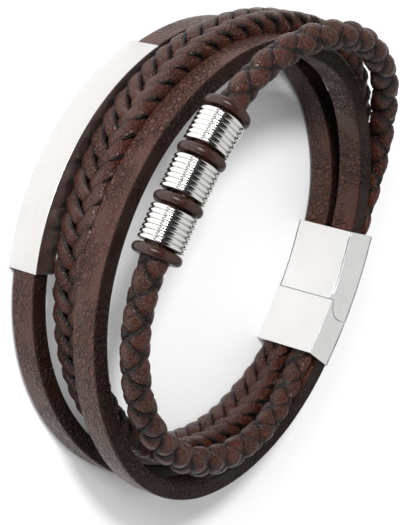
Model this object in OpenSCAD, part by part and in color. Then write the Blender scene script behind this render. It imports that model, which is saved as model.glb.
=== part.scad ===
/* [Clasp] */
// Width of the clasp along the hand, across both rows of strands
clasp_w = 13.2; // [13.2:0.1:14]
// Thickness of the clasp from the wrist outward
clasp_t = 7.35; // [7.35:0.05:8]
// Radius of the clasp's inner face, which follows the wrist
clasp_radius = 70; // [66:1:76]
// Half of the angle that the clasp covers, in degrees
clasp_half_turn = 9.5; // [9:0.1:10]
// Wall between the wrist or the outside and the strands
clasp_face_wall = 0.75; // [0.7:0.05:0.75]
// Wall at the two sides of the clasp
clasp_side_wall = 0.7; // [0.6:0.05:0.7]
// Rounding of the clasp's two outer edges
clasp_edge_r = 2.2; // [1.6:0.1:2.2]
// How far the joint of the inner faces lies past the middle of the clasp
split_past_middle = 1.1; // [0.5:0.1:1.6]
// How far the rounded tongue laps over the other half
tongue_reach = 3; // [2:0.1:3.2]
// Height of the tongue's rounded corner, from the wrist outward
tongue_corner = 3.6; // [3.3:0.1:4.5]
// Depth of the pocket that holds the strand ends in the half with the tongue
tongue_pocket = 9; // [7:0.5:9]
// Depth of the pocket in the other half
plain_pocket = 6.5; // [5:0.5:6.5]
// Side lip left beside the inner panel of the half with the tongue
panel_lip = 0.35; // [0.3:0.05:0.5]

/* [Straps] */
// Width of the two plain leather straps
strap_w = 5.3; // [5:0.1:5.3]
// Thickness of the plain leather straps
strap_t = 3; // [2.8:0.1:3]
// Bevel along the edges of the plain leather straps
strap_bevel = 0.35; // [0.3:0.05:0.5]

/* [Steel plate] */
// Wall of the plate in front of and behind its strap
plate_face_wall = 0.4; // [0.3:0.05:0.6]
// Wall of the plate along the strap's edges
plate_side_wall = 0.7; // [0.5:0.05:0.7]
// Where the plate begins, as a length along its strap from the clasp's middle
plate_from = 84.5; // [78:0.5:90]
// Length of the plate along the strap
plate_length = 43.5; // [40:0.5:48]

/* [Wide flat braid] */
// Length in which one strand goes across and back
wide_period = 18.3; // [17.5:0.1:20]
// How far a strand's middle swings to either side
wide_swing = 3.05; // [3:0.05:3.05]
// How far a strand's middle lies in front of or behind the braid's middle
wide_lift = 1.5; // [1.5:0.05:1.55]
// Width of one strand
wide_strand_w = 2.05; // [1.6:0.05:2.05]
// Thickness of one strand
wide_strand_t = 1.15; // [1:0.05:1.15]

/* [Round braid] */
// Length of one turn of a strand round the braid
round_period = 11.6; // [11.2:0.1:13]
// Mean distance of a strand from the braid's middle
round_radius = 1.4; // [1.4:0.02:1.44]
// How far a strand moves out and in where it crosses another
round_lift = 0.78; // [0.78:0.01:0.8]
// Width of one strand
round_strand_w = 2; // [1.5:0.05:2]
// Thickness of one strand
round_strand_t = 0.85; // [0.7:0.05:0.85]

/* [Beads and rings] */
// Outer diameter of a ribbed steel bead
bead_d = 8; // [7.6:0.1:8.2]
// Length of a ribbed steel bead
bead_length = 6.1; // [5.8:0.1:6.2]
// Ribs on one bead
bead_ribs = 7; // [6:1:8]
// Depth of the groove between two ribs
bead_groove = 0.35; // [0.2:0.05:0.5]
// Diameter of the hole through a bead
bead_bore = 5.5; // [5.4:0.05:5.7]
// Outer diameter of a rubber ring
ring_d = 8.5; // [8.2:0.1:8.8]
// Thickness of a rubber ring along the braid
ring_length = 1.8; // [1.6:0.1:1.9]
// Diameter of the hole through a rubber ring
ring_bore = 5.3; // [5.2:0.05:5.5]
// Play between a bead and a ring, which the bend of the braid takes up on its inner side
bead_play = 0.3; // [0.3:0.05:0.4]
// Middle of the row of beads, as a length along the braid from the clasp's middle
bead_row_middle = 110.5; // [109:0.5:112]

/* [Hidden] */

$fn = 64;
small_round = 24;
small_corner = 16;

// The bracelet lies on its side: X runs along the clasp, Y from the wrist's middle to the clasp,
// and Z along the hand. The origin is under the middle of the outline.
inner_face_y = 29.6;
outline_middle = [0.67, -0.05];

// Small gap between pieces that lie against each other
gap = 0.05;
seam = 0.12;

// Colours
steel = "#d4d0cc";
brown = "#4a2a22";
light_brown = "#5a3328";
rubber = "#3a221c";

// Half-widths of the braids where they are free
wide_half_w = wide_swing + wide_strand_w/2;
wide_half_t = wide_lift + wide_strand_t/2;
round_half = round_radius + round_lift + round_strand_t/2;

// The clasp's pocket holds two layers: a strap and a braid, side by side in two rows
pocket_t = clasp_t - 2*clasp_face_wall;
pocket_w = clasp_w - 2*clasp_side_wall;
pocket_corner_r = 0.5;
braid_room = pocket_t - strap_t - 5*gap;
row_room = pocket_w/2 - 2*gap;
low_row = clasp_side_wall + gap + strap_w/2;
high_row = clasp_w - low_row;

// Distance of each layer's middle from the clasp's inner face, for the two ends of the clasp
strap_inside = clasp_face_wall + gap + strap_t/2;
strap_outside = clasp_t - clasp_face_wall - gap - strap_t/2;
braid_inside = clasp_face_wall + 2*gap + braid_room/2;
braid_outside = clasp_t - clasp_face_wall - 2*gap - braid_room/2;

// Each strand leaves the clasp, turns left all the way round and comes back.
// Every row is one arc: radius and turn in degrees. A radius of 0 is worked out to close the loop.
RADIUS = 0;
TURN = 1;
plate_strap_arcs = [[30, 61], [32, 60], [0, 72], [0, 74], [30, 47], [40, 27]];
plain_strap_arcs = [[25, 21], [31, 110], [0, 49], [0, 55], [30, 50], [37, 56]];
wide_braid_arcs = [[39, 39], [22, 44], [0, 61], [0, 61], [32, 70], [30, 66]];
round_braid_arcs = [[48, 15], [25.2, 43], [0, 97], [100, 15], [0, 31], [29.4, 60], [36, 42], [27, 38]];

// Height of each strand's middle: share of the way round, wide braid, plain strap, round braid
SHARE = 0;
WIDE = 1;
PLAIN = 2;
ROUND = 3;
heights = [
    [0.05, 3.7, high_row, high_row - 0.1],
    [0.10, 4.7, 10.6, 11.2],
    [0.15, 6.8, 12.4, 14.1],
    [0.22, 9.4, 15.6, 20.6],
    [0.30, 10.6, 17.6, 25.2],
    [0.40, 10.8, 17.8, 26.3],
    [0.57, 10.8, 17.8, 26.3],
    [0.66, 10.2, 16.6, 24.0],
    [0.76, 8.2, 13.8, 19.8],
    [0.86, 5.5, 10.8, 14.2],
    [0.95, 3.7, high_row, high_row - 0.1]
];

// A strand leaves the tongue half first, then comes back into the plain half
leaving = 180;
clasp_middle = [0, inner_face_y - clasp_radius];

// Movement along an arc of radius 1 that starts at a heading and turns left
function arc_step(heading, turn) =
    [sin(heading + turn) - sin(heading), cos(heading) - cos(heading + turn)];

// Headings at the start of each arc of a route
function headings(arcs) =
    [for (i = 0, h = leaving; i < len(arcs); h = h + arcs[i][TURN], i = i + 1) h];

function total(list, i = 0) = i < len(list) ? list[i] + total(list, i + 1) : 0*list[0];

// The whole loop from the clasp's middle back to it, with its two open radii worked out
function closed(arcs, start, end) =
    let (whole = concat([[clasp_radius + start, clasp_half_turn]], arcs,
                        [[clasp_radius + end, clasp_half_turn]]),
         h = headings(whole),
         steps = [for (i = [0:len(whole) - 1]) arc_step(h[i], whole[i][TURN])],
         open = [for (i = [0:len(whole) - 1]) if (whole[i][RADIUS] == 0) i],
         known = total([for (i = [0:len(whole) - 1]) whole[i][RADIUS]*steps[i]]),
         rest = [0, end - start] - known,
         a = steps[open[0]],
         b = steps[open[1]],
         found = [cross(rest, b)/cross(a, b), cross(a, rest)/cross(a, b)])
    [for (i = [0:len(whole) - 1])
        [i == open[0] ? found[0] : i == open[1] ? found[1] : whole[i][RADIUS], whole[i][TURN]]];

function arc_length(arc) = arc[RADIUS]*arc[TURN]*PI/180;

// Legs of a loop: length at the start, point at the start, heading, radius and length
FROM = 0;
POINT = 1;
HEADING = 2;
LEG_RADIUS = 3;
LEG_LENGTH = 4;
function legs(arcs, start) =
    [for (i = 0, s = 0, h = leaving, p = [0, inner_face_y + start];
          i < len(arcs);
          s = s + arc_length(arcs[i]),
          p = p + arcs[i][RADIUS]*arc_step(h, arcs[i][TURN]),
          h = h + arcs[i][TURN],
          i = i + 1)
        [s, p, h, arcs[i][RADIUS], arc_length(arcs[i])]];

function loop_length(route) =
    route[len(route) - 1][FROM] + route[len(route) - 1][LEG_LENGTH];

// The leg that a length along the route falls in
function leg_at(route, s) =
    route[max([for (i = [0:len(route) - 1]) route[i][FROM] <= s || i == 0 ? i : 0])];

function heading_at(leg, s) = leg[HEADING] + (s - leg[FROM])/leg[LEG_RADIUS]*180/PI;

function plan_point(route, s) =
    let (leg = leg_at(route, s))
    leg[POINT] + leg[LEG_RADIUS]*arc_step(leg[HEADING], heading_at(leg, s) - leg[HEADING]);

// Smooth height through the table's rows, level before the first row and after the last
function slope_at(table, column, i) =
    i <= 0 || i >= len(table) - 1 ? 0 :
    (table[i + 1][column] - table[i - 1][column])/(table[i + 1][SHARE] - table[i - 1][SHARE]);

function between(table, column, i, x) =
    let (d = table[i + 1][SHARE] - table[i][SHARE],
         u = (x - table[i][SHARE])/d)
    table[i][column]*(2*pow(u, 3) - 3*pow(u, 2) + 1)
    + table[i + 1][column]*(3*pow(u, 2) - 2*pow(u, 3))
    + slope_at(table, column, i)*d*(pow(u, 3) - 2*pow(u, 2) + u)
    + slope_at(table, column, i + 1)*d*(pow(u, 3) - pow(u, 2));

function height_at(table, column, x) =
    let (last = len(table) - 1)
    x <= table[0][SHARE] ? table[0][column] :
    x >= table[last][SHARE] ? table[last][column] :
    between(table, column, max([for (i = [0:last - 1]) table[i][SHARE] <= x ? i : 0]), x);

function path_point(route, column, s) =
    let (p = plan_point(route, s))
    [p[0], p[1], height_at(heights, column, s/loop_length(route))];

function unit(v) = v/norm(v);

// Local directions at a length along a route: along it, outward and up
NEAR = 0.2;
function along_at(route, column, s) =
    unit(path_point(route, column, s + NEAR) - path_point(route, column, s - NEAR));

function outward_at(route, s) =
    let (leg = leg_at(route, s), h = heading_at(leg, s))
    [sin(h), -cos(h), 0];

// Skin of a swept solid: rings of equal point count, closed by a flat face at each end
// The slant says which way the skin's quads are split, so that it follows the strand's twist.
function ring_faces(rings, sides, slant) =
    [for (i = [0:rings - 2]) for (j = [0:sides - 1]) for (half = [0, 1])
        let (a = i*sides + j,
             b = i*sides + (j + 1) % sides,
             c = a + sides,
             d = b + sides)
        slant > 0 ? (half == 0 ? [a, d, b] : [a, c, d]) : (half == 0 ? [a, c, b] : [b, c, d])];

module swept(rings, slant = 1) {
    sides = len(rings[0]);
    count = len(rings);
    ends = [[for (j = [0:sides - 1]) j], [for (j = [sides - 1:-1:0]) (count - 1)*sides + j]];
    polyhedron(
        points = [for (ring = rings) each ring],
        faces = concat(ring_faces(count, sides, slant), ends)
    );
}

// Exact solid bent along a route: a flat profile of outward distance and height
// Every second leg is a hair slimmer all round and laps into both its neighbours, so that all
// legs join as one solid.
hair = 0.01;
lap = 0.05;
$slimmer = 0;
module bent(route, from, to) {
    for (i = [0:len(route) - 1]) {
        leg = route[i];
        odd = i % 2;
        $slimmer = odd*hair;
        a = max(from, leg[FROM] - odd*lap);
        b = min(to, leg[FROM] + leg[LEG_LENGTH] + odd*lap);
        if (b > a) {
            r = leg[LEG_RADIUS];
            h = leg[HEADING];
            translate(leg[POINT] + r*[-sin(h), cos(h)])
                rotate(heading_at(leg, a) - 90)
                    rotate_extrude(angle = (b - a)/r*180/PI)
                        translate([r, 0])
                            children();
        }
    }
}

plate_strap_route = legs(closed(plate_strap_arcs, strap_inside, strap_outside), strap_inside);
plain_strap_route = legs(closed(plain_strap_arcs, strap_inside, strap_outside), strap_inside);
wide_braid_route = legs(closed(wide_braid_arcs, braid_outside, braid_inside), braid_outside);
round_braid_route = legs(closed(round_braid_arcs, braid_outside, braid_inside), braid_outside);

// Strand ends lie in the pockets, a little short of the pocket's end wall
end_gap = 0.4;
braid_end_gap = 1;
clasp_reach = clasp_half_turn*PI/180*clasp_radius;
function strand_from(short) = clasp_reach - tongue_pocket + short;
function strand_to(route, short) = loop_length(route) - clasp_reach + plain_pocket - short;

// How much a braid is pressed flat in the clasp, from 0 to 1 where it is free. It gets its full
// width soon, and its full thickness where its neighbour has moved away.
thickness_length = 30;
width_length = 12;
function ease(u) = let (v = min(1, max(0, u))) 3*pow(v, 2) - 2*pow(v, 3);
function freedom(route, s, length) =
    ease((min(s, loop_length(route) - s) - clasp_reach - 1)/length);
function pressed(free, share) = share + (1 - share)*free;

wide_press = [(braid_room/2)/wide_half_t, (row_room/2)/wide_half_w];
round_press = [(braid_room/2)/round_half, min(1, (row_room/2)/round_half)];

// Puts a point of a straight braid, given as along, outward and up, on its route
function on_route(route, column, s, local, press) =
    let (along = along_at(route, column, s),
         out = outward_at(route, s),
         up = cross(out, along))
    path_point(route, column, s) + local[0]*along
    + local[1]*pressed(freedom(route, s, thickness_length), press[0])*out
    + local[2]*pressed(freedom(route, s, width_length), press[1])*up;

// Sections of the strands, as shares of their half-width and half-thickness
ACROSS = 0;
RISE = 1;
wide_section = [[1, 0], [0.5, 1], [-0.5, 1], [-1, 0], [-0.5, -1], [0.5, -1]];
round_section = [[1, 0], [0.5, 1], [-0.5, 1], [-1, 0], [0, -1]];

// Section set square to the strand and flat against the surface that the strand lies in
function section(shape, w, t, tangent, normal) =
    let (across = unit(cross(tangent, normal)),
         rise = cross(across, tangent))
    [for (corner = shape) w/2*corner[ACROSS]*across + t/2*corner[RISE]*rise];

// Lengths at which a strand gets a ring: its two ends, and steps between that are shifted to
// the same places of the weave for every strand
function ring_lengths(from, to, step, shift) =
    let (nearest = step/3)
    concat([from],
           [for (i = [floor((from - shift)/step):ceil((to - shift)/step)])
               let (s = shift + i*step)
               if (s > from + nearest && s < to - nearest) s],
           [to]);

// Sine with flattened tops, so that a strand stays clear where it crosses others
flatness = 3;
function flat_sine(a) =
    let (x = sin(a))
    x*sqrt(1 + pow(flatness, 2))/sqrt(1 + pow(flatness*x, 2));

// Middle of a strand of the wide braid at a phase: outward and up
function wide_middle(a) = [-wide_lift*flat_sine(2*a), wide_swing*sin(a)];

wide_strands = 5;
wide_rings_per_period = 12;
wide_first_phase = 15;

module wide_strand(k) {
    route = wide_braid_route;
    step = wide_period/wide_rings_per_period;
    shift = wide_period*(wide_first_phase/360 - k/wide_strands);
    lengths = ring_lengths(strand_from(braid_end_gap), strand_to(route, braid_end_gap), step, shift);
    rings = [for (s = lengths)
        let (a = 360*(s/wide_period + k/wide_strands),
             da = 360*NEAR/wide_period,
             here = wide_middle(a),
             move = wide_middle(a + da) - wide_middle(a - da),
             tangent = unit([2*NEAR, move[0], move[1]]))
        [for (p = section(wide_section, wide_strand_w, wide_strand_t, tangent, [0, 1, 0]))
            on_route(route, WIDE, s, p + [0, here[0], here[1]], wide_press)]];
    color(brown) swept(rings);
}

// Middle of a strand of the round braid: two strands turn one way and two the other
function round_middle(way, start, a) =
    let (r = round_radius + way*round_lift*cos(2*a))
    [r*cos(way*a + start), r*sin(way*a + start)];

round_rings_per_period = 8;

module round_strand(way, start) {
    route = round_braid_route;
    step = round_period/round_rings_per_period;
    lengths = ring_lengths(strand_from(braid_end_gap), strand_to(route, braid_end_gap), step, 0);
    rings = [for (s = lengths)
        let (a = 360*s/round_period,
             da = 360*NEAR/round_period,
             here = round_middle(way, start, a),
             move = round_middle(way, start, a + da) - round_middle(way, start, a - da),
             tangent = unit([2*NEAR, move[0], move[1]]),
             outward = [0, cos(way*a + start), sin(way*a + start)])
        [for (p = section(round_section, round_strand_w, round_strand_t, tangent, outward))
            on_route(route, ROUND, s, p + [0, here[0], here[1]], round_press)]];
    color(brown) swept(rings, way);
}

// Corners of a plain strap's section: outward and up
function strap_corners() =
    let (t = strap_t/2 - $slimmer, w = strap_w/2 - $slimmer, b = strap_bevel)
    [[t, b - w], [t - b, -w], [b - t, -w], [-t, b - w], [-t, w - b], [b - t, w], [t - b, w], [t, w - b]];

// Strap that lies level, so that it is bent from exact arcs
module plate_strap() {
    route = plate_strap_route;
    color(light_brown)
        bent(route, strand_from(end_gap), strand_to(route, end_gap))
            translate([0, low_row])
                polygon(strap_corners());
}

// Strap that climbs from the clasp to the front and back
plain_strap_pitch = 4;
module plain_strap() {
    route = plain_strap_route;
    from = strand_from(end_gap);
    length = strand_to(route, end_gap) - from;
    steps = round(length/plain_strap_pitch);
    rings = [for (i = [0:steps])
        let (s = from + length*i/steps)
        [for (c = strap_corners())
            on_route(route, PLAIN, s, [0, c[0], c[1]], [1, 1])]];
    color(light_brown) swept(rings);
}

// Curved steel sleeve on the level strap
module steel_plate() {
    hole = [strap_t + 2*gap, strap_w + 2*gap];
    body = hole + 2*[plate_face_wall, plate_side_wall];
    color(steel)
        translate([0, 0, low_row])
            bent(plate_strap_route, plate_from, plate_from + plate_length)
                difference() {
                    square(body, center = true);
                    square(hole, center = true);
                }
}

// Outline of the clasp across its length: outward distance and height
module clasp_profile() {
    straight = clasp_t - clasp_edge_r;
    square([straight, clasp_w]);
    translate([0, clasp_edge_r])
        square([clasp_t, clasp_w - 2*clasp_edge_r]);
    for (z = [clasp_edge_r, clasp_w - clasp_edge_r])
        translate([straight, z])
            circle(clasp_edge_r);
}

// The pocket has the same outline, with small outer corners
module pocket_profile() {
    reach = pocket_t - pocket_corner_r;
    translate([clasp_face_wall, clasp_side_wall]) {
        square([reach, pocket_w]);
        translate([0, pocket_corner_r])
            square([pocket_t, pocket_w - 2*pocket_corner_r]);
        for (z = [pocket_corner_r, pocket_w - pocket_corner_r])
            translate([reach, z])
                circle(pocket_corner_r, $fn = small_corner);
    }
}

// Part of the clasp's arc between two lengths, measured from its middle toward +X
module clasp_arc(from, to) {
    degrees = 180/PI/clasp_radius;
    translate(clasp_middle)
        rotate(90 - to*degrees)
            rotate_extrude(angle = (to - from)*degrees)
                translate([clasp_radius, 0])
                    children();
}

// Plan shape of everything on the tongue's side of the joint, cut through the whole width
module tongue_side(grow) {
    far = 2*clasp_w;
    translate([split_past_middle, inner_face_y]) {
        translate([-far, -far/2])
            square([far + grow, 2*far]);
        translate([-far, tongue_corner])
            square([far + tongue_reach + grow, far]);
        translate([0, tongue_corner])
            circle(tongue_reach + grow);
    }
}

module clasp_tongue_half() {
    panel_room = clasp_w - 2*panel_lip;
    color(steel)
        difference() {
            intersection() {
                clasp_arc(-clasp_reach, split_past_middle + tongue_reach + seam)
                    clasp_profile();
                translate([0, 0, -clasp_w/2])
                    linear_extrude(2*clasp_w)
                        tongue_side(-seam/2);
            }
            clasp_arc(-clasp_reach - end_gap, -clasp_reach + tongue_pocket)
                pocket_profile();
            clasp_arc(-clasp_reach - end_gap, split_past_middle + end_gap)
                translate([-end_gap, panel_lip])
                    square([end_gap + clasp_face_wall + gap, panel_room]);
        }
}

// Flat panel that closes the inner face of the half with the tongue
module clasp_inner_panel() {
    color(steel)
        clasp_arc(-clasp_reach, split_past_middle - seam/2)
            translate([0, panel_lip + seam])
                square([clasp_face_wall - gap/2, clasp_w - 2*panel_lip - 2*seam]);
}

module clasp_plain_half() {
    color(steel)
        difference() {
            clasp_arc(split_past_middle, clasp_reach)
                clasp_profile();
            translate([0, 0, -clasp_w/2])
                linear_extrude(2*clasp_w)
                    tongue_side(seam/2);
            clasp_arc(clasp_reach - plain_pocket, clasp_reach + end_gap)
                pocket_profile();
        }
}

// Stands a piece that is drawn along Z on the round braid, its middle at a length along it
module on_round_braid(s) {
    route = round_braid_route;
    along = along_at(route, ROUND, s);
    out = outward_at(route, s);
    up = cross(out, along);
    place = path_point(route, ROUND, s);
    multmatrix([
        [out[0], up[0], -along[0], place[0]],
        [out[1], up[1], -along[1], place[1]],
        [out[2], up[2], -along[2], place[2]],
        [0, 0, 0, 1]
    ])
        children();
}

// Steel tube with turned ribs
module ribbed_bead(s) {
    pitch = bead_length/bead_ribs;
    rib_r = pitch/2;
    root_r = bead_d/2 - bead_groove;
    color(steel)
        on_round_braid(s)
            rotate_extrude()
                difference() {
                    union() {
                        translate([0, -bead_length/2])
                            square([root_r, bead_length]);
                        for (i = [0:bead_ribs - 1])
                            translate([bead_d/2 - rib_r, -bead_length/2 + (i + 0.5)*pitch])
                                circle(rib_r, $fn = small_round);
                    }
                    translate([-bead_d, -bead_d])
                        square([bead_d + bead_bore/2, 2*bead_d]);
                }
}

// Rubber ring with rounded outer edges
module rubber_ring(s) {
    edge_r = ring_length/3;
    half = ring_length/2 - edge_r;
    color(rubber)
        on_round_braid(s)
            rotate_extrude() {
                translate([ring_bore/2, -ring_length/2])
                    square([(ring_d - ring_bore)/2 - edge_r, ring_length]);
                translate([ring_bore/2, -half])
                    square([(ring_d - ring_bore)/2, 2*half]);
                for (y = [-half, half])
                    translate([ring_d/2 - edge_r, y])
                        circle(edge_r, $fn = small_round);
            }
}

// Beads and rings take turns along the braid, a ring at each end
bead_pitch = bead_length + ring_length + 2*bead_play;
function bead_place(i) = bead_row_middle + (i - 2)*bead_pitch;
function ring_place(i) = bead_row_middle + (i - 2.5)*bead_pitch;

module placed() {
    translate(-outline_middle)
        children();
}

placed() clasp_tongue_half();
placed() clasp_plain_half();
placed() clasp_inner_panel();
placed() plate_strap();
placed() plain_strap();
placed() steel_plate();
placed() wide_strand(0);  // wide_braid_strand_1
placed() wide_strand(1);  // wide_braid_strand_2
placed() wide_strand(2);  // wide_braid_strand_3
placed() wide_strand(3);  // wide_braid_strand_4
placed() wide_strand(4);  // wide_braid_strand_5
placed() round_strand(1, 0);  // round_braid_strand_1
placed() round_strand(1, 180);  // round_braid_strand_2
placed() round_strand(-1, 0);  // round_braid_strand_3
placed() round_strand(-1, 180);  // round_braid_strand_4
placed() ribbed_bead(bead_place(1));  // ribbed_bead_1
placed() ribbed_bead(bead_place(2));  // ribbed_bead_2
placed() ribbed_bead(bead_place(3));  // ribbed_bead_3
placed() rubber_ring(ring_place(1));  // rubber_ring_1
placed() rubber_ring(ring_place(2));  // rubber_ring_2
placed() rubber_ring(ring_place(3));  // rubber_ring_3
placed() rubber_ring(ring_place(4));  // rubber_ring_4
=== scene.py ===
# %% [markdown]
# # A braided leather bracelet
#
# This lesson dresses the plain solids of a leather bracelet. Four rows of leather go round the
# wrist: a level strap with a curved steel plate, a wide flat braid, a second plain strap and a
# round braid that carries three ribbed steel beads between rubber rings. A steel clasp takes up
# all eight ends. The bracelet lies on its side on a white table, so X runs along the clasp, Y
# from the wrist to the clasp and Z along the hand.
#
# The solids come in first. They say where everything is, and the new pieces lie where they are.

# %% The solids that everything is fitted to
from math import cos, pi, radians, sin, sqrt

import bmesh
import bpy
from mathutils import Matrix, Vector


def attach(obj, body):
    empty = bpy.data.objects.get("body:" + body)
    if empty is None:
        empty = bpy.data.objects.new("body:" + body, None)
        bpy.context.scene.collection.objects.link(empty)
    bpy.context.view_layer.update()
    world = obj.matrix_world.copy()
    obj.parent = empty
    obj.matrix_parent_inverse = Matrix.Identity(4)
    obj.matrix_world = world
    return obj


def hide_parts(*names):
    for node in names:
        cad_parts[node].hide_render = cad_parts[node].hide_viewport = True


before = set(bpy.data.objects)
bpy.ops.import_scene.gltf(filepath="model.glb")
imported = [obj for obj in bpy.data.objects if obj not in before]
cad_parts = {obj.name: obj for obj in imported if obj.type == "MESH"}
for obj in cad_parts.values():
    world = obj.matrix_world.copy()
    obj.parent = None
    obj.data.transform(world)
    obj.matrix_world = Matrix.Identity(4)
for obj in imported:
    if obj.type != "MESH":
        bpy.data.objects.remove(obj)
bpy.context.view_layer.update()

MM = 0.001

# %% [markdown]
# ## The camera
#
# A photograph of jewellery is usually taken with a long lens, which keeps the far strands
# nearly as large as the near ones. The camera looks down at 43 degrees and is rolled so far
# that the bracelet seems to stand upright in the picture, although it lies on its side. It could
# be aimed with a constraint, but three angles say the same in numbers that can be fitted to a
# picture: its place is the point that it looks at, the direction back to it and the distance.

# %% The camera
view_point = Vector((2.757, 7.633, 0))*MM
view_distance = 384*MM
view_turn, view_height, view_roll = radians(6.2), radians(43), radians(105.5)
focal_pixels, picture_height, sensor_height = 2170, 525, 24

back = Vector((sin(view_turn)*cos(view_height), -cos(view_turn)*cos(view_height), sin(view_height)))
level = Vector((cos(view_turn), sin(view_turn), 0))
right = level*cos(view_roll) + back.cross(level)*sin(view_roll)
upward = back.cross(right)

camera_data = bpy.data.cameras.new("photo_camera")
camera_data.sensor_fit = "VERTICAL"
camera_data.sensor_height = sensor_height
camera_data.lens = sensor_height*focal_pixels/picture_height
camera_data.clip_start = 10*MM
camera = bpy.data.objects.new("photo_camera", camera_data)
bpy.context.scene.collection.objects.link(camera)
facing = Matrix((right, upward, back)).transposed().to_4x4()
camera.matrix_world = Matrix.Translation(view_point + back*view_distance) @ facing
bpy.context.scene.camera = camera
print("camera at", [round(v/MM) for v in camera.matrix_world.translation], "mm, lens",
      round(camera_data.lens, 1))

# %% [markdown]
# ## Shader arithmetic
#
# A finish is a small sum: so much grain, plus so much wear, times a tint. Its nodes could be
# added and linked one by one, but then the sum can't be read any more. So a little class wraps
# a node's output. Adding or multiplying two of them adds the Math nodes, and one method makes
# every other kind of node.

# %% One wire between nodes
class Wire:
    """The output of one node in a finish."""
    def __init__(self, tree, socket):
        self.tree = tree
        self.socket = socket

    def node(self, kind, settings, sockets, output=0):
        made = self.tree.nodes.new(kind)
        for name, value in settings.items():
            setattr(made, name, value)
        for name, value in sockets.items():
            if isinstance(value, Wire):
                self.tree.links.new(value.socket, made.inputs[name])
            else:
                made.inputs[name].default_value = value
        return Wire(self.tree, made.outputs[output])

    def maths(self, operation, *values):
        return self.node("ShaderNodeMath", {"operation": operation}, dict(enumerate(values)))

    def __add__(self, other):
        return self.maths("ADD", self, other)

    def __radd__(self, other):
        return self.maths("ADD", other, self)

    def __sub__(self, other):
        return self.maths("SUBTRACT", self, other)

    def __rsub__(self, other):
        return self.maths("SUBTRACT", other, self)

    def __mul__(self, other):
        return self.maths("MULTIPLY", self, other)

    def __rmul__(self, other):
        return self.maths("MULTIPLY", other, self)

    def mapped(self, low, high, to_low=0.0, to_high=1.0):
        """The same signal, stretched from one range to another and held there."""
        return self.node("ShaderNodeMapRange", {"interpolation_type": "SMOOTHSTEP"},
                         {0: self, 1: low, 2: high, 3: to_low, 4: to_high})

    def tint(self, dark, light):
        """A colour between two others, by this signal."""
        return self.node("ShaderNodeMix", {"data_type": "RGBA"}, {0: self, 6: dark, 7: light}, 2)

    def noise(self, size_mm, detail, output=0):
        """Soft noise at this place, with spots of a size in millimetres."""
        return self.node("ShaderNodeTexNoise", {},
                         {"Vector": self, "Scale": 1/(size_mm*MM), "Detail": detail}, output)

    def cell_walls(self, size_mm):
        """Distance to the nearest wall of a pattern of cells, which is 0 on the wall."""
        return self.node("ShaderNodeTexVoronoi", {"feature": "DISTANCE_TO_EDGE"},
                         {"Vector": self, "Scale": 1/(size_mm*MM)})

    def bump(self):
        """A surface raised by this signal, in millimetres."""
        return self.node("ShaderNodeBump", {}, {"Height": self*MM, "Distance": 1.0})


print("a helper for finishes:", Wire.__name__, "-", Wire.__doc__)

# %% Colours, and an empty finish
def screen_colour(red, green, blue):
    """A colour as a picture on a screen gives it, made linear for the shader."""
    def linear(part):
        part /= 255
        return part/12.92 if part <= 0.04045 else ((part + 0.055)/1.055)**2.4
    return (linear(red), linear(green), linear(blue), 1)


def finish(name, constants):
    """An empty finish: its shader, and a wire with the place on the object in metres."""
    material = bpy.data.materials.new(name)
    material.use_nodes = True
    tree = material.node_tree
    shader = tree.nodes["Principled BSDF"]
    for socket, value in constants.items():
        shader.inputs[socket].default_value = value
    place = Wire(tree, tree.nodes.new("ShaderNodeTexCoord").outputs["Object"])
    return material, shader, place


def feed(shader, socket, wire):
    wire.tree.links.new(wire.socket, shader.inputs[socket])


print("a screen's middle grey in linear light:", round(screen_colour(128, 128, 128)[0], 3))

# %% [markdown]
# ## Leather
#
# All the leather here is smooth brown hide with a pebbled grain: cells of 0.7 to 1 millimetre
# with thin valleys between them, stronger in some patches than in others, and over them a sparse
# web of creases where the hide was bent. It could be a picture of leather, but cells that are
# worked out have no seams and keep their size on a strap of any length. The distance to the
# nearest cell wall gives the valleys, which are darker and duller than the tops. The rims of the
# straps and laces are painted darker still: partly the stain of cut edges, partly painted shade
# in the grooves between a braid's lobes and on a strap's sides.

# %% A leather finish
fleck_mm, patch_mm, crease_mm = 0.25, 8, 3.3
valley_width, crease_width = 0.22, 0.06
warp_size, warp_reach = 2, 1.6
valley_shade, fleck_shade, patch_shade, crease_shade = 0.2, 0.4, 0.3, 0.2
valley_rough, fleck_rough, rim_rough = 0.12, 0.12, 0.15
fleck_height, crease_depth = 0.2, 0.7
# ranges of the patch noise: where the grain grows from its least share to full, and the creases
grained, creased = (0.34, 0.54), (0.38, 0.55)
least_grain = 0.15


def leather(name, dark, light, rim, rim_range, grain_mm, grain_depth, gloss, rough):
    material, shader, place = finish(name, {"Specular IOR Level": gloss})
    warp = place.noise(warp_size*grain_mm, 3, 1)
    bent = place.node("ShaderNodeVectorMath", {"operation": "MULTIPLY_ADD"},
                      {0: warp, 1: (grain_mm*MM*warp_reach,)*3, 2: place})
    pebble = bent.cell_walls(grain_mm).mapped(0.0, valley_width)
    fleck = place.noise(fleck_mm, 4)
    patch = place.noise(patch_mm, 2)
    grain = patch.mapped(*grained, least_grain)
    crease = (1 - bent.cell_walls(crease_mm).mapped(0.0, crease_width))*patch.mapped(*creased)
    edge = place.node("ShaderNodeAttribute", {"attribute_name": "edge"}, {}, 2)
    # the rims are painted darker: partly the stain of cut edges, partly painted shade
    painted = edge.mapped(*rim_range)
    tone = (0.5 + grain*(pebble - 1)*valley_shade + (fleck - 0.5)*fleck_shade
            + (patch - 0.5)*patch_shade - crease*crease_shade)
    hide = tone.mapped(0.0, 1.0).tint(dark, light)
    height = (pebble*grain + fleck*fleck_height)*grain_depth - crease*grain_depth*crease_depth
    feed(shader, "Base Color", painted.tint(hide, rim))
    feed(shader, "Roughness",
         rough + valley_rough*(1 - pebble) + fleck_rough*(fleck - 0.5) + painted*rim_rough)
    feed(shader, "Normal", height.bump())
    return material


# the strap's sides take the rim colour: partly an edge stain, partly painted shade
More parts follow.
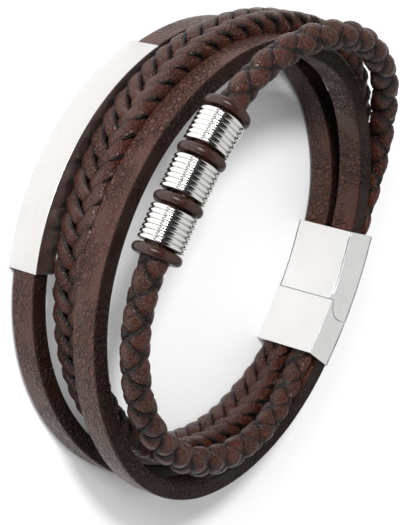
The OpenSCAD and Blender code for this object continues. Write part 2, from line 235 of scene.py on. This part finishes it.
strap_leather = leather("strap_leather", screen_colour(38, 17, 11), screen_colour(90, 52, 40),
                        screen_colour(28, 13, 9), (0.86, 0.98), grain_mm=0.95, grain_depth=0.26,
                        gloss=0.35, rough=0.3)
# the laces' near-black rims are painted shade in the grooves between lobes, with some edge stain
braid_leather = leather("braid_leather", screen_colour(36, 14, 8), screen_colour(80, 40, 27),
                        screen_colour(11, 5, 3), (0.55, 0.95), grain_mm=0.7, grain_depth=0.12,
                        gloss=0.5, rough=0.3)
print("finishes:", strap_leather.name, braid_leather.name)

# %% [markdown]
# ## Steel and rubber
#
# The plate and the clasp are brushed: fine lines run along the metal and spread its highlights.
# The clasp is the brighter of the two: its colour is painted brighter than the plate's, as
# painted light. The beads are polished. The rings between them are black-brown rubber with a
# soft gloss. An even blur could stand for the brushing, but noise that is stretched into lines
# also breaks up the reflections, as real brushing does.

# %% Steel finishes
smear_mm = 6
dull_shade, dull_range = 0.9, (0.2, 0.8)
line_rough, smear_rough = 0.1, 0.08


def steel(name, tint, rough, line_mm, line_depth, stretch):
    material, shader, place = finish(name, {"Metallic": 1.0})
    along = place.node("ShaderNodeMapping", {"vector_type": "POINT"},
                       {"Vector": place, "Scale": stretch})
    lines = along.noise(line_mm, 3)
    smear = place.noise(smear_mm, 2)
    dull = tuple(dull_shade*part for part in tint[:3]) + (1,)
    feed(shader, "Base Color", (lines*0.5 + smear*0.5).mapped(*dull_range).tint(dull, tint))
    feed(shader, "Roughness", rough + line_rough*(lines - 0.5) + smear_rough*(smear - 0.5))
    feed(shader, "Normal", (lines*line_depth).bump())
    return material


level_lines = (0.08, 0.08, 1)
# the plate's colour is painted darker than the clasp's, as painted shade
brushed_steel = steel("brushed_steel", (0.77, 0.76, 0.75, 1), rough=0.3, line_mm=0.12,
                      line_depth=0.004, stretch=level_lines)
# the clasp's colour is painted brighter than the plate's, as painted light
clasp_steel_painted_light = steel("clasp_steel_painted_light", (0.96, 0.95, 0.94, 1), rough=0.24, line_mm=0.12,
                    line_depth=0.004, stretch=level_lines)
polished_steel = steel("polished_steel", (0.92, 0.91, 0.89, 1), rough=0.13, line_mm=0.5,
                       line_depth=0.0, stretch=(1, 1, 1))
print("finishes:", brushed_steel.name, clasp_steel_painted_light.name, polished_steel.name)

# %% The rubber finish
dust_mm, dust_height, dust_range = 0.3, 0.006, (0.3, 0.75)
rubber_rough, dust_rough = 0.3, 0.2
ring_rubber, rubber_shader, rubber_place = finish("ring_rubber", {"Specular IOR Level": 0.5})
dust = rubber_place.noise(dust_mm, 4)
feed(rubber_shader, "Base Color",
     dust.mapped(*dust_range).tint(screen_colour(32, 16, 13), screen_colour(60, 34, 27)))
feed(rubber_shader, "Roughness", rubber_rough + dust_rough*(dust - 0.5))
feed(rubber_shader, "Normal", (dust*dust_height).bump())
print("finish:", ring_rubber.name)

# %% [markdown]
# ## The clasp and the rows that it holds
#
# The clasp is a flat steel box that follows the wrist, with room for two rows side by side and
# two layers one on the other: a strap and a braid. All lengths are in millimetres. The strands'
# places follow from the clasp's walls, so that a change of the clasp moves the strands with it.

# %% Sizes of the clasp and of the straps
clasp_t, clasp_w = 7.35, 13.2
clasp_radius, clasp_half_turn, inner_face = 70, 9.5, 29.6
clasp_reach = radians(clasp_half_turn)*clasp_radius
tongue_pocket, plain_pocket = 9, 6.5
outline_middle = Vector((0.67, -0.05))
strap_w, strap_t = 5.3, 3
face_wall, side_wall, slack = 0.75, 0.7, 0.05
braid_room = clasp_t - 2*face_wall - strap_t - 5*slack
low_row = side_wall + slack + strap_w/2
high_row = clasp_w - low_row
strap_inside = face_wall + slack + strap_t/2
strap_outside = clasp_t - face_wall - slack - strap_t/2
braid_inside = face_wall + 2*slack + braid_room/2
braid_outside = clasp_t - face_wall - 2*slack - braid_room/2
print("rows at", low_row, "and", round(high_row, 2), "mm, room for a braid", round(braid_room, 2), "mm")

# %% [markdown]
# ## The way round the wrist
#
# Every strand leaves one end of the clasp, turns left all the way round and comes back to the
# other end. A hand-drawn curve could do that, but nothing would make it close. Here, seen from
# above, the line is a chain of arcs, each with a radius and a turn, and the two radii that are
# given as 0 are worked out so that the loop closes. The height comes from a table: the shares
# of the way round, and the heights there in millimetres, joined by a smooth curve.

# %% A route
shares = [0.05, 0.10, 0.15, 0.22, 0.30, 0.40, 0.57, 0.66, 0.76, 0.86, 0.95]
level_heights = [low_row]*len(shares)
wide_heights = [3.7, 4.7, 6.8, 9.4, 10.6, 10.8, 10.8, 10.2, 8.2, 5.5, 3.7]
plain_heights = [high_row, 10.6, 12.4, 15.6, 17.6, 17.8, 17.8, 16.6, 13.8, 10.8, high_row]
round_row = high_row - 0.1
round_heights = [round_row, 11.2, 14.1, 20.6, 25.2, 26.3, 26.3, 24.0, 19.8, 14.2, round_row]
# how far to each side of a place its direction is measured
near = 0.2
print("heights are given at", len(shares), "places round the wrist")


def arc_step(heading, turn):
    """Movement along an arc of radius 1 that turns left."""
    return Vector((sin(heading + turn) - sin(heading), cos(heading) - cos(heading + turn)))


def closed(arcs, start, end):
    """The whole loop from the clasp's middle back to it, with its two open radii worked out."""
    whole = [[clasp_radius + start, clasp_half_turn]] + [list(a) for a in arcs]
    whole += [[clasp_radius + end, clasp_half_turn]]
    heading, steps = pi, []
    for radius, turn in whole:
        steps.append(arc_step(heading, radians(turn)))
        heading += radians(turn)
    i, j = [n for n, (radius, turn) in enumerate(whole) if radius == 0]
    known = sum((step*arc[0] for step, arc in zip(steps, whole)), Vector((0, 0)))
    rest = Vector((0, end - start)) - known
    across = steps[i].x*steps[j].y - steps[i].y*steps[j].x
    whole[i][0] = (rest.x*steps[j].y - rest.y*steps[j].x)/across
    whole[j][0] = (steps[i].x*rest.y - steps[i].y*rest.x)/across
    return whole


class Route:
    """The middle line of one row, from the clasp's middle all the way round."""
    def __init__(self, arcs, start, end, heights):
        self.heights = heights
        self.legs, self.length = [], 0
        heading, point = pi, Vector((0, inner_face + start)) - outline_middle
        for radius, turn in closed(arcs, start, end):
            self.legs.append((self.length, point.copy(), heading, radius))
            self.length += radius*radians(turn)
            point += radius*arc_step(heading, radians(turn))
            heading += radians(turn)

    def leg(self, s):
        """The arc that a length along the route falls in."""
        return [leg for leg in self.legs if leg[0] <= s or leg is self.legs[0]][-1]

    def slope(self, n):
        """How steeply the heights rise at a row of the table, level at both ends."""
        if n in (0, len(shares) - 1):
            return 0
        return (self.heights[n + 1] - self.heights[n - 1])/(shares[n + 1] - shares[n - 1])

    def height(self, s):
        x, h = s/self.length, self.heights
        if x <= shares[0] or x >= shares[-1]:
            return h[0]
        i = max(n for n, share in enumerate(shares) if share <= x)
        d = shares[i + 1] - shares[i]
        u = (x - shares[i])/d
        return (h[i]*(2*u**3 - 3*u**2 + 1) + h[i + 1]*(3*u**2 - 2*u**3)
                + self.slope(i)*d*(u**3 - 2*u**2 + u) + self.slope(i + 1)*d*(u**3 - u**2))

    def point(self, s):
        start, place, heading, radius = self.leg(s)
        plan = place + radius*arc_step(heading, (s - start)/radius)
        return Vector((plan.x, plan.y, self.height(s)))

    def frame(self, s, press_out=1, press_up=1):
        """Matrix whose axes point along the route, outward and up, at a length along it."""
        start, place, heading, radius = self.leg(s)
        turn = heading + (s - start)/radius
        out = Vector((sin(turn), -cos(turn), 0))
        along = (self.point(s + near) - self.point(s - near)).normalized()
        up = out.cross(along)
        axes = Matrix((along, out*press_out, up*press_up)).transposed().to_4x4()
        return Matrix.Translation(self.point(s)) @ axes


# %% Routes of the four rows
plate_strap_route = Route([(30, 61), (32, 60), (0, 72), (0, 74), (30, 47), (40, 27)],
                          strap_inside, strap_outside, level_heights)
plain_strap_route = Route([(25, 21), (31, 110), (0, 49), (0, 55), (30, 50), (37, 56)],
                          strap_inside, strap_outside, plain_heights)
wide_braid_route = Route([(39, 39), (22, 44), (0, 61), (0, 61), (32, 70), (30, 66)],
                         braid_outside, braid_inside, wide_heights)
round_braid_route = Route([(48, 15), (25.2, 43), (0, 97), (100, 15), (0, 31), (29.4, 60), (36, 42),
                           (27, 38)], braid_outside, braid_inside, round_heights)
for name, route in (("plate strap", plate_strap_route), ("wide braid", wide_braid_route),
                    ("plain strap", plain_strap_route), ("round braid", round_braid_route)):
    print(name, "goes", round(route.length, 1), "mm round")

# %% [markdown]
# ## Sweeping a section
#
# A strap or a lace is one section carried along a line. A curve with a bevel profile could do
# that, but it chooses its own twist, and the laces of a braid have to roll on purpose. So the
# section is a ring of edges, drawn flat. Ring by ring it is extruded, and the new ring is moved
# on by the matrix that leads from one frame of the line to the next. Each point of the first
# ring knows how near the rim it is, the extrusion copies that on, and the leather finish reads it.

# %% Sweeping, and putting a piece in the scene
def sweep(bm, frames):
    """Carries the ring of edges in bm through the frames and closes both ends."""
    first = ring = list(bm.edges)
    points = list(bm.verts)
    here = Matrix.Identity(4)
    for n, target in enumerate(frames):
        if n:
            grown = bmesh.ops.extrude_edge_only(bm, edges=ring)["geom"]
            points = [g for g in grown if isinstance(g, bmesh.types.BMVert)]
            fresh = set(points)
            ring = [g for g in grown if isinstance(g, bmesh.types.BMEdge)
                    and g.verts[0] in fresh and g.verts[1] in fresh]
        bmesh.ops.transform(bm, matrix=target @ here.inverted(), verts=points)
        here = target
    bmesh.ops.edgeloop_fill(bm, edges=first)
    bmesh.ops.edgeloop_fill(bm, edges=ring)
    return bm


def put(bm, name, material, slot, *nodes, smooth=radians(40), scale=MM):
    """Turns a bmesh into a piece in metres that stands for the named solids."""
    bmesh.ops.scale(bm, vec=(scale,)*3, verts=bm.verts)
    bmesh.ops.recalc_face_normals(bm, faces=bm.faces)
    for face in bm.faces:
        face.smooth = True
    for edge in bm.edges:
        edge.smooth = len(edge.link_faces) == 2 and edge.calc_face_angle(0) < smooth
    mesh = bpy.data.meshes.new(name)
    bm.to_mesh(mesh)
    bm.free()
    piece = bpy.data.objects.new(name, mesh)
    bpy.context.scene.collection.objects.link(piece)
    mesh.materials.append(material)
    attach(piece, "root")
    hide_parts(*nodes)
    return piece


def stations(route, short, pitch):
    """Even lengths along a strand, from pocket to pocket, a little short of their end walls."""
    start = clasp_reach - tongue_pocket + short
    end = route.length - clasp_reach + plain_pocket - short
    count = round((end - start)/pitch)
    return [start + (end - start)*n/count for n in range(count + 1)]


print("pockets begin", round(clasp_reach, 2), "mm to each side of the clasp's middle")

# %% [markdown]
# ## Laces
#
# A lace is a soft strip of leather, rounder than a strap. Both braids are first thought straight,
# and each point of the straight braid is then put on its route. Near the clasp a braid is pressed
# flat, because it lies beside a strap in the pocket: the frames of the route are made shorter
# there, which presses the whole weave at once. Squeezing the finished laces would need a cage.

# %% A lace's section and frame
lace_points = 16
thickness_length, width_length = 30, 12
press_begins = 1
tip_gap = 1


def ease(u):
    u = min(1, max(0, u))
    return 3*u**2 - 2*u**3


def free_share(route, s, length):
    """0 where a braid is pressed in the clasp, 1 where it is free."""
    return ease((min(s, route.length - s) - clasp_reach - press_begins)/length)


def pressed_frame(route, s, press_out, press_up):
    """The route's frame, with its two cross axes shortened near the clasp."""
    return route.frame(s, press_out + (1 - press_out)*free_share(route, s, thickness_length),
                       press_up + (1 - press_up)*free_share(route, s, width_length))


def flattened(x, flatness):
    """A value between -1 and 1, pushed towards both ends."""
    return x*sqrt(1 + flatness**2)/sqrt(1 + (flatness*x)**2)


def lace_section(width, thickness, droop, squareness):
    """A ring of edges: an oval with full corners whose two sides droop, across X and rising on Y."""
    bm = bmesh.new()
    bmesh.ops.create_circle(bm, cap_ends=False, radius=1, segments=lace_points)
    for point in bm.verts:
        for axis in (0, 1):
            share = abs(point.co[axis])**(2/squareness)
            point.co[axis] = share if point.co[axis] > 0 else -share
    bmesh.ops.scale(bm, vec=(width/2, thickness/2, 1), verts=bm.verts)
    rim = bm.verts.layers.float.new("edge")
    for point in bm.verts:
        point[rim] = abs(2*point.co.x/width)
        point.co.y -= droop*point[rim]**2
    return bm


def lace_frame(middle, before, after, normal):
    """Frame of a lace inside a straight braid: across, rising and along the lace."""
    tangent = (after - before).normalized()
    across = tangent.cross(normal).normalized()
    rise = across.cross(tangent)
    return Matrix.Translation(middle) @ Matrix((across, rise, tangent)).transposed().to_4x4()


print("a braid is free", press_begins + thickness_length, "mm from the clasp, and its width after",
      press_begins + width_length, "mm")

# %% [markdown]
# ## The wide flat braid
#
# Five laces are plaited flat. Each lace swings from edge to edge and passes over on its way
# in from the edge and under on its way out, so the front shows two rows of rounded lobes that
# meet in arrows. The lobes could be modelled one by one, but only a real weave looks right from
# the back too. All five laces follow the same curve, a fifth of a period apart.

# %% Laces of the wide braid
wide_laces, wide_rings = 5, 28
wide_period, wide_swing, wide_lift = 18.3, 3.2, 1.45
wide_lace_w, wide_lace_t = 2.8, 1.5
# half the thickness and width of the free braid, which is pressed to the room in the clasp
wide_half_t, wide_half_w = 2.075, 4.075
row_half = (clasp_w/2 - side_wall - 2*slack)/2
wide_press = (braid_room/2/wide_half_t, row_half/wide_half_w)
cross_flatness, cross_lean, roll_flatness = 2.2, 0.8, 2.5
rim_spread, rim_sharpness = 0.3, 8


def wide_middle(s, a):
    lift = wide_lift*flattened(sin(2*a), cross_flatness + cross_lean*cos(2*a))
    return Vector((s, -lift, wide_swing*sin(a)))


def wide_face(a):
    """Which way the lace's face looks: it rolls over at the edges, as a band wrapped round a board."""
    roll = pi/2*(1 + flattened(cos(a), roll_flatness))
    return Vector((0, cos(roll), sin(roll)))


def wide_lace(k):
    frames = []
    da = 2*pi*near/wide_period
    for s in stations(wide_braid_route, tip_gap, wide_period/wide_rings):
        a = 2*pi*(s/wide_period + k/wide_laces)
        lace = lace_frame(wide_middle(s, a), wide_middle(s - near, a - da),
                          wide_middle(s + near, a + da), wide_face(a))
        spread = Matrix.Diagonal((1 + rim_spread*sin(a)**rim_sharpness, 1, 1, 1))
        lace = Matrix.Translation((-s, 0, 0)) @ lace @ spread
        frames.append(pressed_frame(wide_braid_route, s, *wide_press) @ lace)
    return sweep(lace_section(wide_lace_w, wide_lace_t, 0, squareness=2.0), frames)


for k in range(wide_laces):
    lace = put(wide_lace(k), f"wide_lace_{k + 1}", braid_leather, "leather_braid",
               f"wide_braid_strand_{k + 1}")
print("wide braid lace:", len(lace.data.vertices), "points")

# %% [markdown]
# ## The round braid
#
# Four laces make a round braid: two wind one way round and two the other, and each goes out
# over the next and in under the one after. The laces are wide and thin, so they cover each
# other like scales. A twisted cord would be simpler, but its lobes would all lean the same way.

# %% Laces of the round braid
round_rings = 24
round_period, round_radius, round_lift = 11.6, 1.5, 0.6
round_lace_w, round_lace_t, round_droop = 3.6, 1.05, 0.5
round_half = 2.605
round_press = (braid_room/2/round_half, 1)
round_flatness, over_spread = 1.5, 0.1


def round_middle(s, way, start, a):
    r = round_radius + way*round_lift*flattened(cos(2*a), round_flatness)
    return Vector((s, r*cos(way*a + start), r*sin(way*a + start)))


def round_lace(way, turned):
    frames = []
    da = 2*pi*near/round_period
    for s in stations(round_braid_route, tip_gap, round_period/round_rings):
        a = 2*pi*s/round_period
        outward = Vector((0, cos(way*a + turned), sin(way*a + turned)))
        lace = lace_frame(round_middle(s, way, turned, a), round_middle(s - near, way, turned, a - da),
                          round_middle(s + near, way, turned, a + da), outward)
        spread = Matrix.Diagonal((1 + over_spread*way*cos(2*a), 1, 1, 1))
        lace = Matrix.Translation((-s, 0, 0)) @ lace @ spread
        frames.append(pressed_frame(round_braid_route, s, *round_press) @ lace)
    return sweep(lace_section(round_lace_w, round_lace_t, round_droop, squareness=2.3), frames)


for n, (way, turned) in enumerate(((1, 0), (1, pi), (-1, 0), (-1, pi))):
    lace = put(round_lace(way, turned), f"round_lace_{n + 1}", braid_leather, "leather_braid",
               f"round_braid_strand_{n + 1}")
print("round braid lace:", len(lace.data.vertices), "points")

# %% [markdown]
# ## The two plain straps
#
# A plain strap is a thick band of leather with flat faces, rounded edges and sides painted darker,
# partly as an edge stain and partly as painted shade. A long box could be bent into shape, but the
# second strap also climbs, and a bend along two axes shears the section. Its section is a rectangle
# with rounded corners, swept along its route.

# %% Plain straps
strap_edge_r, strap_corner_steps = 0.4, 4
strap_end_gap, strap_pitch = 0.4, 1.5
# turns what is drawn in X and Y, or stands on Z, to a route's axes: outward, up and along
on_route = Matrix(((0, 0, 1, 0), (1, 0, 0, 0), (0, 1, 0, 0), (0, 0, 0, 1)))


def strap_section():
    bm = bmesh.new()
    bmesh.ops.create_grid(bm, x_segments=1, y_segments=1, size=0.5)
    bmesh.ops.delete(bm, geom=list(bm.faces), context="FACES_ONLY")
    bmesh.ops.scale(bm, vec=(strap_t, strap_w, 1), verts=bm.verts)
    bmesh.ops.bevel(bm, geom=list(bm.verts), offset=strap_edge_r, segments=strap_corner_steps,
                    profile=0.5, affect="VERTICES", material=-1)
    rim = bm.verts.layers.float.new("edge")
    for point in bm.verts:
        point[rim] = abs(2*point.co.y/strap_w)
    return bm


def strap(route):
    lengths = stations(route, strap_end_gap, strap_pitch)
    return sweep(strap_section(), [route.frame(s) @ on_route for s in lengths])


put(strap(plate_strap_route), "level_strap", strap_leather, "leather_strap", "plate_strap")
climbing = put(strap(plain_strap_route), "climbing_strap", strap_leather, "leather_strap",
               "plain_strap")
print("plain strap:", len(climbing.data.vertices), "points")

# %% [markdown]
# ## Steel plate and clasp
#
# These are machined pieces, and the solids already have their true shape. Only the knife-sharp
# edges look wrong, because real steel always has a small rounded edge that catches the light.
# The pieces could be built again with rounds, but a copy can't drift from its solid. So the copy
# is welded, its flat facets are joined, and its sharp edges are bevelled. Weighted normals then
# keep the large faces flat in their shading.

# %% Eased copies of the steel solids
weld = 0.002*MM
flat_angle, sharp_angle = radians(0.5), radians(32)
edge_steps = 3


def eased(node, radius):
    bm = bmesh.new()
    bm.from_mesh(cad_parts[node].data)
    bmesh.ops.remove_doubles(bm, verts=bm.verts, dist=weld)
    bmesh.ops.dissolve_limit(bm, angle_limit=flat_angle, verts=bm.verts, edges=bm.edges)
    edges = [e for e in bm.edges if len(e.link_faces) == 2 and e.calc_face_angle(0) > sharp_angle]
    bmesh.ops.bevel(bm, geom=edges, offset=radius*MM, segments=edge_steps, profile=0.5,
                    affect="EDGES", material=-1, clamp_overlap=True)
    return bm


for node, radius, steel_look in (("steel_plate", 0.12, brushed_steel),
                                 ("clasp_tongue_half", 0.14, clasp_steel_painted_light),
                                 ("clasp_plain_half", 0.14, clasp_steel_painted_light),
                                 ("clasp_inner_panel", 0.1, clasp_steel_painted_light)):
    copy = put(eased(node, radius), node + "_eased", steel_look, "brushed_steel", node, scale=1)
    even = copy.modifiers.new("even_shading", "WEIGHTED_NORMAL")
    even.keep_sharp = True
    print(node, len(copy.data.polygons), "faces")

# %% [markdown]
# ## Beads and rings
#
# The beads are turned on a lathe, so they are spun here too. A cylinder with tori round it would
# leave hidden walls inside. Each rib is a half circle, made by spinning one point, and the whole
# line is then spun round the bead's axis. A rubber ring is the same with a single rib.

# %% Ribbed beads and rubber rings
bead_d, bead_length, bead_ribs, bead_bore, beads = 8, 6.1, 7, 5.5, 3
ring_d, ring_length, ring_bore, rings = 8.5, 1.8, 5.3, 4
bead_play = 0.3
bead_pitch = bead_length + ring_length + 2*bead_play
bead_row_middle = 110.5
rib_steps, turn_steps = 10, 64
turned_sharp, turned_weld = radians(50), 0.001


def turned_piece(first, last, arcs):
    """A line from first to last over half circles of a given radius, spun round Z."""
    bm = bmesh.new()
    tip = bm.verts.new(first)

    def line_to(x, z):
        nonlocal tip
        tip = bmesh.ops.extrude_vert_indiv(bm, verts=[tip])["verts"][0]
        tip.co = (x, 0, z)

    for x, z, radius in arcs:
        line_to(x, z - radius)
        grown = bmesh.ops.spin(bm, geom=[tip], cent=(x, 0, z), axis=(0, -1, 0), angle=pi,
                               steps=rib_steps)["geom_last"]
        tip = [g for g in grown if isinstance(g, bmesh.types.BMVert)][0]
    line_to(last[0], last[2])
    line_to(first[0], first[2])
    bmesh.ops.spin(bm, geom=list(bm.verts) + list(bm.edges), cent=(0, 0, 0), axis=(0, 0, 1),
                   angle=2*pi, steps=turn_steps, use_merge=True)
    bmesh.ops.remove_doubles(bm, verts=bm.verts, dist=turned_weld)
    return bm


def bead():
    pitch = bead_length/bead_ribs
    ribs = [(bead_d/2 - pitch/2, (n + 0.5 - bead_ribs/2)*pitch, pitch/2) for n in range(bead_ribs)]
    return turned_piece((bead_bore/2, 0, -bead_length/2), (bead_bore/2, 0, bead_length/2), ribs)


def rubber_ring():
    half = ring_length/2
    return turned_piece((ring_bore/2, 0, -half), (ring_bore/2, 0, half), [(ring_d/2 - half, 0, half)])


def thread(bm, s):
    """Puts a piece that stands on Z on the round braid, at a length along it."""
    bmesh.ops.transform(bm, matrix=round_braid_route.frame(s) @ on_route, verts=bm.verts)
    return bm


for n in range(beads):
    put(thread(bead(), bead_row_middle + (n - (beads - 1)/2)*bead_pitch), f"bead_{n + 1}",
        polished_steel, "polished_steel", f"ribbed_bead_{n + 1}", smooth=turned_sharp)
for n in range(rings):
    put(thread(rubber_ring(), bead_row_middle + (n - (rings - 1)/2)*bead_pitch), f"ring_{n + 1}",
        ring_rubber, "rubber", f"rubber_ring_{n + 1}", smooth=turned_sharp)
print("on the round braid:", beads, "beads and", rings, "rings, one every", round(bead_pitch, 2), "mm")

# %% [markdown]
# ## Table and surroundings
#
# The bracelet lies on a white table. Steel shows little of its own and much of what is round it,
# so the room matters more than the lamps: bare white walls would make the beads look like
# plastic. What the steel mirrors is the table, a bright window low in front, a bright far wall
# and the dark gap between them, which is the row of dark dashes on the beads.

# %% Table and room
table_half = 2
bm = bmesh.new()
bmesh.ops.create_grid(bm, x_segments=1, y_segments=1, size=table_half)
table_mesh = bpy.data.meshes.new("table_top")
bm.to_mesh(table_mesh)
bm.free()
table_top = bpy.data.objects.new("table_top", table_mesh)
bpy.context.scene.collection.objects.link(table_top)
table_finish = finish("table_finish", {"Roughness": 0.7, "Specular IOR Level": 0.2,
                                       "Base Color": (0.9, 0.9, 0.9, 1)})[0]
table_mesh.materials.append(table_finish)

room_light, window_light, far_wall_light = 0.02, 0.5, 0.7
# where their light rises or falls, on a sphere of radius 1 round the bracelet
window_side, window_top = (-0.6, -0.35), (0.0, 0.6)
far_wall_side, far_wall_foot = (-0.2, 0.05), (0.2, 0.4)
world = bpy.data.worlds.new("studio")
bpy.context.scene.world = world
world.use_nodes = True
sky = world.node_tree.nodes["Background"]
sky.inputs["Color"].default_value = (1, 1, 1, 1)
look = Wire(world.node_tree, world.node_tree.nodes.new("ShaderNodeTexCoord").outputs["Generated"])
across_table = look.node("ShaderNodeSeparateXYZ", {}, {0: look}, "Y")
above_table = look.node("ShaderNodeSeparateXYZ", {}, {0: look}, "Z")
window = across_table.mapped(*window_side, 1, 0)*above_table.mapped(*window_top, 1, 0)
far_wall = across_table.mapped(*far_wall_side)*above_table.mapped(*far_wall_foot)
light_of_room = room_light + window*window_light + far_wall*far_wall_light
feed(sky, "Strength", light_of_room)
bpy.context.scene.view_settings.view_transform = "Standard"
print("table of", 2*table_half, "m, room:", world.name)

# %% [markdown]
# ## Lamps
#
# A large low lamp in front gives the steel and the laces their highlights. A fill stands above
# it, and a small slanting lamp throws the shadow that lies behind the bracelet. A single large
# lamp would be simpler, but its shadow is too soft to see. The fill and the slanting lamp don't
# show in reflections, where they would be two more bright spots on every bead.

# %% Lamps
lamp_aim = Vector((0, 0, 0.01))


def soft_light(name, place, size, power, mirrored):
    data = bpy.data.lights.new(name, "AREA")
    data.shape, data.size, data.energy = "DISK", size, power
    light = bpy.data.objects.new(name, data)
    bpy.context.scene.collection.objects.link(light)
    light.location = place
    light.rotation_euler = (Vector(place) - lamp_aim).to_track_quat("Z", "Y").to_euler()
    light.visible_glossy = mirrored


soft_light("key", (-0.17, -0.86, 0.47), size=0.4, power=5.4, mirrored=True)
soft_light("fill", (0, -0.64, 0.77), size=0.4, power=1.6, mirrored=False)
soft_light("slanting", (-0.3, -0.65, 0.7), size=0.15, power=8.6, mirrored=False)
